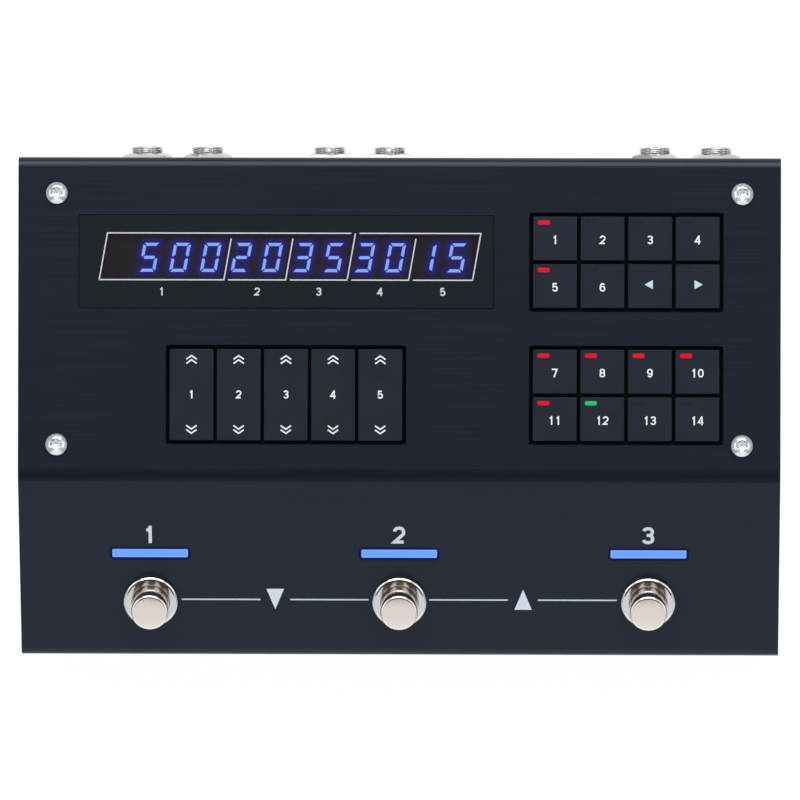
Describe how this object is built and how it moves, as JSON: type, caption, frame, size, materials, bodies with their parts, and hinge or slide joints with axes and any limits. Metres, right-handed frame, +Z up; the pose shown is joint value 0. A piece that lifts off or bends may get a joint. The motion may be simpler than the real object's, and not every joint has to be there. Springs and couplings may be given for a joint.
{
  "type": "digital delay pedal",
  "caption": "Floor-standing digital delay pedal: bent sheet case with a digit display, rocker and push keys, foot switches on a sloping front, and rear jacks.",
  "frame": {"origin": "on the floor, at the middle of the whole outline with the jack noses", "axes": "+X to the player's right, +Y to the rear panel, +Z up"},
  "size_m": [0.265, 0.1782, 0.0672],
  "materials": {
    "cover_paint": "satin paint over fine brushed lines",
    "chassis_paint": "matte powder paint",
    "zinc_steel": "bright zinc",
    "nickel_plate": "bright nickel",
    "satin_nickel": "satin nickel",
    "nickel_brass": "plain",
    "steel": "plain",
    "rubber": "matte",
    "smoked_acrylic": "smoked gloss",
    "black_plastic": "fine moulded grain",
    "digit_faces": "smooth",
    "key_plastic": "fine moulded grain",
    "button_plastic": "smooth",
    "light_pipe": "frosted",
    "led_chips": "clear",
    "circuit_board": "solder mask",
    "ribbon_grey": "plain"
  },
  "bodies": {
    "chassis": {"top_cover": "cover_paint", "base_chassis": "chassis_paint", "cover_screws": "zinc_steel", "rubber_feet": "rubber", "hex_standoffs": "nickel_brass", "board_screws": "zinc_steel", "display_window": "smoked_acrylic", "display_frame": "black_plastic", "digit_modules": "digit_faces", "key_frames": "black_plastic", "rocker_frame": "black_plastic", "rocker_axle": "steel", "panel_board": "circuit_board", "tact_switches": "black_plastic", "indicator_leds": "led_chips", "footswitch_spring_left": "steel", "footswitch_spring_middle": "steel", "footswitch_spring_right": "steel", "footswitch_nuts": "nickel_plate", "footswitch_bushings": "nickel_brass", "footswitch_bodies": "black_plastic", "footswitch_board": "circuit_board", "light_bars": "light_pipe", "main_board": "circuit_board", "board_components": "black_plastic", "ribbon_cables": "ribbon_grey", "jack_bodies": "black_plastic", "jack_contacts": "nickel_brass", "jack_bushings": "nickel_plate", "jack_washers": "zinc_steel", "jack_nuts": "nickel_plate", "midi_sockets": "black_plastic", "usb_socket": "steel", "dc_socket": "black_plastic", "power_switch": "black_plastic"},
    "number_key_1": {"number_key_1": "key_plastic"},
    "number_key_2": {"number_key_2": "key_plastic"},
    "number_key_3": {"number_key_3": "key_plastic"},
    "number_key_4": {"number_key_4": "key_plastic"},
    "bank_key_1": {"bank_key_1": "key_plastic"},
    "bank_key_2": {"bank_key_2": "key_plastic"},
    "left_arrow_key": {"left_arrow_key": "key_plastic"},
    "right_arrow_key": {"right_arrow_key": "key_plastic"},
    "mode_key_1": {"mode_key_1": "key_plastic"},
    "mode_key_2": {"mode_key_2": "key_plastic"},
    "mode_key_3": {"mode_key_3": "key_plastic"},
    "mode_key_4": {"mode_key_4": "key_plastic"},
    "mode_key_5": {"mode_key_5": "key_plastic"},
    "mode_key_6": {"mode_key_6": "key_plastic"},
    "mode_key_7": {"mode_key_7": "key_plastic"},
    "mode_key_8": {"mode_key_8": "key_plastic"},
    "rocker_key_1": {"rocker_key_1": "key_plastic"},
    "rocker_key_2": {"rocker_key_2": "key_plastic"},
    "rocker_key_3": {"rocker_key_3": "key_plastic"},
    "rocker_key_4": {"rocker_key_4": "key_plastic"},
    "rocker_key_5": {"rocker_key_5": "key_plastic"},
    "footswitch_plunger_left": {"footswitch_plunger_left": "satin_nickel"},
    "footswitch_plunger_middle": {"footswitch_plunger_middle": "satin_nickel"},
    "footswitch_plunger_right": {"footswitch_plunger_right": "satin_nickel"},
    "power_button": {"power_button": "button_plastic"}
  },
  "joints": [
    {"name": "number_key_1_press", "type": "slide", "parent": "chassis", "child": "number_key_1", "axis": [0, 0, 1], "range_m": [-0.0008, 0], "stiffness_N_per_m": 700, "springref_m": 0.0008},
    {"name": "number_key_2_press", "type": "slide", "parent": "chassis", "child": "number_key_2", "axis": [0, 0, 1], "range_m": [-0.0008, 0], "stiffness_N_per_m": 700, "springref_m": 0.0008},
    {"name": "number_key_3_press", "type": "slide", "parent": "chassis", "child": "number_key_3", "axis": [0, 0, 1], "range_m": [-0.0008, 0], "stiffness_N_per_m": 700, "springref_m": 0.0008},
    {"name": "number_key_4_press", "type": "slide", "parent": "chassis", "child": "number_key_4", "axis": [0, 0, 1], "range_m": [-0.0008, 0], "stiffness_N_per_m": 700, "springref_m": 0.0008},
    {"name": "bank_key_1_press", "type": "slide", "parent": "chassis", "child": "bank_key_1", "axis": [0, 0, 1], "range_m": [-0.0008, 0], "stiffness_N_per_m": 700, "springref_m": 0.0008},
    {"name": "bank_key_2_press", "type": "slide", "parent": "chassis", "child": "bank_key_2", "axis": [0, 0, 1], "range_m": [-0.0008, 0], "stiffness_N_per_m": 700, "springref_m": 0.0008},
    {"name": "left_arrow_key_press", "type": "slide", "parent": "chassis", "child": "left_arrow_key", "axis": [0, 0, 1], "range_m": [-0.0008, 0], "stiffness_N_per_m": 700, "springref_m": 0.0008},
    {"name": "right_arrow_key_press", "type": "slide", "parent": "chassis", "child": "right_arrow_key", "axis": [0, 0, 1], "range_m": [-0.0008, 0], "stiffness_N_per_m": 700, "springref_m": 0.0008},
    {"name": "mode_key_1_press", "type": "slide", "parent": "chassis", "child": "mode_key_1", "axis": [0, 0, 1], "range_m": [-0.0008, 0], "stiffness_N_per_m": 700, "springref_m": 0.0008},
    {"name": "mode_key_2_press", "type": "slide", "parent": "chassis", "child": "mode_key_2", "axis": [0, 0, 1], "range_m": [-0.0008, 0], "stiffness_N_per_m": 700, "springref_m": 0.0008},
    {"name": "mode_key_3_press", "type": "slide", "parent": "chassis", "child": "mode_key_3", "axis": [0, 0, 1], "range_m": [-0.0008, 0], "stiffness_N_per_m": 700, "springref_m": 0.0008},
    {"name": "mode_key_4_press", "type": "slide", "parent": "chassis", "child": "mode_key_4", "axis": [0, 0, 1], "range_m": [-0.0008, 0], "stiffness_N_per_m": 700, "springref_m": 0.0008},
    {"name": "mode_key_5_press", "type": "slide", "parent": "chassis", "child": "mode_key_5", "axis": [0, 0, 1], "range_m": [-0.0008, 0], "stiffness_N_per_m": 700, "springref_m": 0.0008},
    {"name": "mode_key_6_press", "type": "slide", "parent": "chassis", "child": "mode_key_6", "axis": [0, 0, 1], "range_m": [-0.0008, 0], "stiffness_N_per_m": 700, "springref_m": 0.0008},
    {"name": "mode_key_7_press", "type": "slide", "parent": "chassis", "child": "mode_key_7", "axis": [0, 0, 1], "range_m": [-0.0008, 0], "stiffness_N_per_m": 700, "springref_m": 0.0008},
    {"name": "mode_key_8_press", "type": "slide", "parent": "chassis", "child": "mode_key_8", "axis": [0, 0, 1], "range_m": [-0.0008, 0], "stiffness_N_per_m": 700, "springref_m": 0.0008},
    {"name": "rocker_key_1_tilt", "type": "hinge", "parent": "chassis", "child": "rocker_key_1", "pos_m": [-0.0721, 0.0019, 0.0579], "axis": [1, 0, 0], "range_deg": [-2.4, 2.4], "stiffness_Nm_per_rad": 0.35},
    {"name": "rocker_key_2_tilt", "type": "hinge", "parent": "chassis", "child": "rocker_key_2", "pos_m": [-0.0557, 0.0019, 0.0579], "axis": [1, 0, 0], "range_deg": [-2.4, 2.4], "stiffness_Nm_per_rad": 0.35},
    {"name": "rocker_key_3_tilt", "type": "hinge", "parent": "chassis", "child": "rocker_key_3", "pos_m": [-0.0393, 0.0019, 0.0579], "axis": [1, 0, 0], "range_deg": [-2.4, 2.4], "stiffness_Nm_per_rad": 0.35},
    {"name": "rocker_key_4_tilt", "type": "hinge", "parent": "chassis", "child": "rocker_key_4", "pos_m": [-0.0229, 0.0019, 0.0579], "axis": [1, 0, 0], "range_deg": [-2.4, 2.4], "stiffness_Nm_per_rad": 0.35},
    {"name": "rocker_key_5_tilt", "type": "hinge", "parent": "chassis", "child": "rocker_key_5", "pos_m": [-0.0065, 0.0019, 0.0579], "axis": [1, 0, 0], "range_deg": [-2.4, 2.4], "stiffness_Nm_per_rad": 0.35},
    {"name": "footswitch_plunger_left_press", "type": "slide", "parent": "chassis", "child": "footswitch_plunger_left", "axis": [0, -0.3746, 0.9272], "range_m": [-0.003, 0], "stiffness_N_per_m": 1500, "springref_m": 0.004, "deforming": ["footswitch_spring_left"]},
    {"name": "footswitch_plunger_middle_press", "type": "slide", "parent": "chassis", "child": "footswitch_plunger_middle", "axis": [0, -0.3746, 0.9272], "range_m": [-0.003, 0], "stiffness_N_per_m": 1500, "springref_m": 0.004, "deforming": ["footswitch_spring_middle"]},
    {"name": "footswitch_plunger_right_press", "type": "slide", "parent": "chassis", "child": "footswitch_plunger_right", "axis": [0, -0.3746, 0.9272], "range_m": [-0.003, 0], "stiffness_N_per_m": 1500, "springref_m": 0.004, "deforming": ["footswitch_spring_right"]},
    {"name": "power_button_press", "type": "slide", "parent": "chassis", "child": "power_button", "axis": [0, 1, 0], "range_m": [-0.0025, 0], "stiffness_N_per_m": 500, "springref_m": 0.001}
  ]
}
